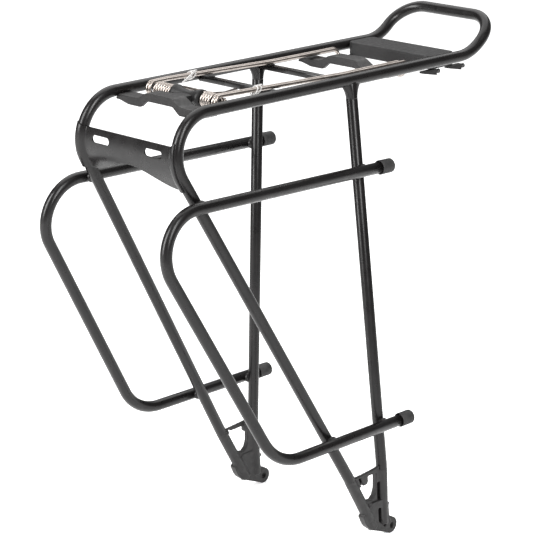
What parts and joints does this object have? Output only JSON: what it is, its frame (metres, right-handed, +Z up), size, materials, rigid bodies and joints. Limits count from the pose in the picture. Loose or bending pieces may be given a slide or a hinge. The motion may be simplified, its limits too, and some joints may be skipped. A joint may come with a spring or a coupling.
{
  "type": "bicycle rear rack",
  "caption": "Bent-tube bicycle rear rack with a spring clamp on the platform, pannier loops, a rear handle loop and dropout feet with bolt eyelets.",
  "frame": {"origin": "midpoint between the two dropout bolt holes, on the line through their centres", "axes": "+X to the rear of the bicycle, +Y to its right, +Z up, platform level"},
  "size_m": [0.4264, 0.1918, 0.4447],
  "materials": {
    "bridge_front": "black painted casting, slightly rough",
    "bridge_rear": "black painted casting, slightly rough",
    "clamp_axle": "black steel",
    "clamp_spool": "matte black plastic",
    "clamp_wire_inner": "drawn stainless spring wire",
    "clamp_wire_outer": "drawn stainless spring wire",
    "crossbar_front": "satin black powder coat",
    "crossbar_rear": "satin black powder coat",
    "dropout_foot_left": "black painted casting, slightly rough",
    "dropout_foot_right": "black painted casting, slightly rough",
    "end_cap_lower_left": "black rubber",
    "end_cap_lower_right": "black rubber",
    "end_cap_upper_left": "black rubber",
    "end_cap_upper_right": "black rubber",
    "front_plate": "satin black powder coat",
    "handle_tube": "satin black powder coat",
    "hook_pin_front_left": "black steel",
    "hook_pin_front_right": "black steel",
    "hook_pin_rear_left": "black steel",
    "hook_pin_rear_right": "black steel",
    "pannier_loop_left": "satin black powder coat",
    "pannier_loop_right": "satin black powder coat",
    "rear_leg_left": "satin black powder coat",
    "rear_leg_right": "satin black powder coat",
    "rear_plate": "matte black plastic",
    "side_tube_left": "satin black powder coat",
    "side_tube_right": "satin black powder coat",
    "spring_coil_left": "drawn stainless spring wire",
    "spring_coil_right": "drawn stainless spring wire",
    "spring_reaction_wire": "drawn stainless spring wire",
    "strap_hook_front_left": "matte black plastic",
    "strap_hook_front_right": "matte black plastic",
    "strap_hook_rear_left": "matte black plastic",
    "strap_hook_rear_right": "matte black plastic",
    "wire_tie_left": "pale translucent plastic",
    "wire_tie_right": "pale translucent plastic"
  },
  "bodies": {
    "rack": {"bridge_front": "bridge_front", "bridge_rear": "bridge_rear", "clamp_axle": "clamp_axle", "clamp_spool": "clamp_spool", "crossbar_front": "crossbar_front", "crossbar_rear": "crossbar_rear", "dropout_foot_left": "dropout_foot_left", "dropout_foot_right": "dropout_foot_right", "end_cap_lower_left": "end_cap_lower_left", "end_cap_lower_right": "end_cap_lower_right", "end_cap_upper_left": "end_cap_upper_left", "end_cap_upper_right": "end_cap_upper_right", "front_plate": "front_plate", "handle_tube": "handle_tube", "hook_pin_front_left": "hook_pin_front_left", "hook_pin_front_right": "hook_pin_front_right", "hook_pin_rear_left": "hook_pin_rear_left", "hook_pin_rear_right": "hook_pin_rear_right", "pannier_loop_left": "pannier_loop_left", "pannier_loop_right": "pannier_loop_right", "rear_leg_left": "rear_leg_left", "rear_leg_right": "rear_leg_right", "rear_plate": "rear_plate", "side_tube_left": "side_tube_left", "side_tube_right": "side_tube_right", "spring_reaction_wire": "spring_reaction_wire", "strap_hook_front_left": "strap_hook_front_left", "strap_hook_front_right": "strap_hook_front_right", "strap_hook_rear_left": "strap_hook_rear_left", "strap_hook_rear_right": "strap_hook_rear_right"},
    "clamp_bow": {"clamp_wire_inner": "clamp_wire_inner", "clamp_wire_outer": "clamp_wire_outer", "spring_coil_left": "spring_coil_left", "spring_coil_right": "spring_coil_right", "wire_tie_left": "wire_tie_left", "wire_tie_right": "wire_tie_right"}
  },
  "joints": [
    {"name": "clamp_hinge", "type": "hinge", "parent": "rack", "child": "clamp_bow", "pos_m": [-0.1616, 0, 0.4049], "axis": [0, -1, 0], "range_deg": [0, 100], "stiffness_Nm_per_rad": 0.5, "springref_deg": -34.38}
  ]
}
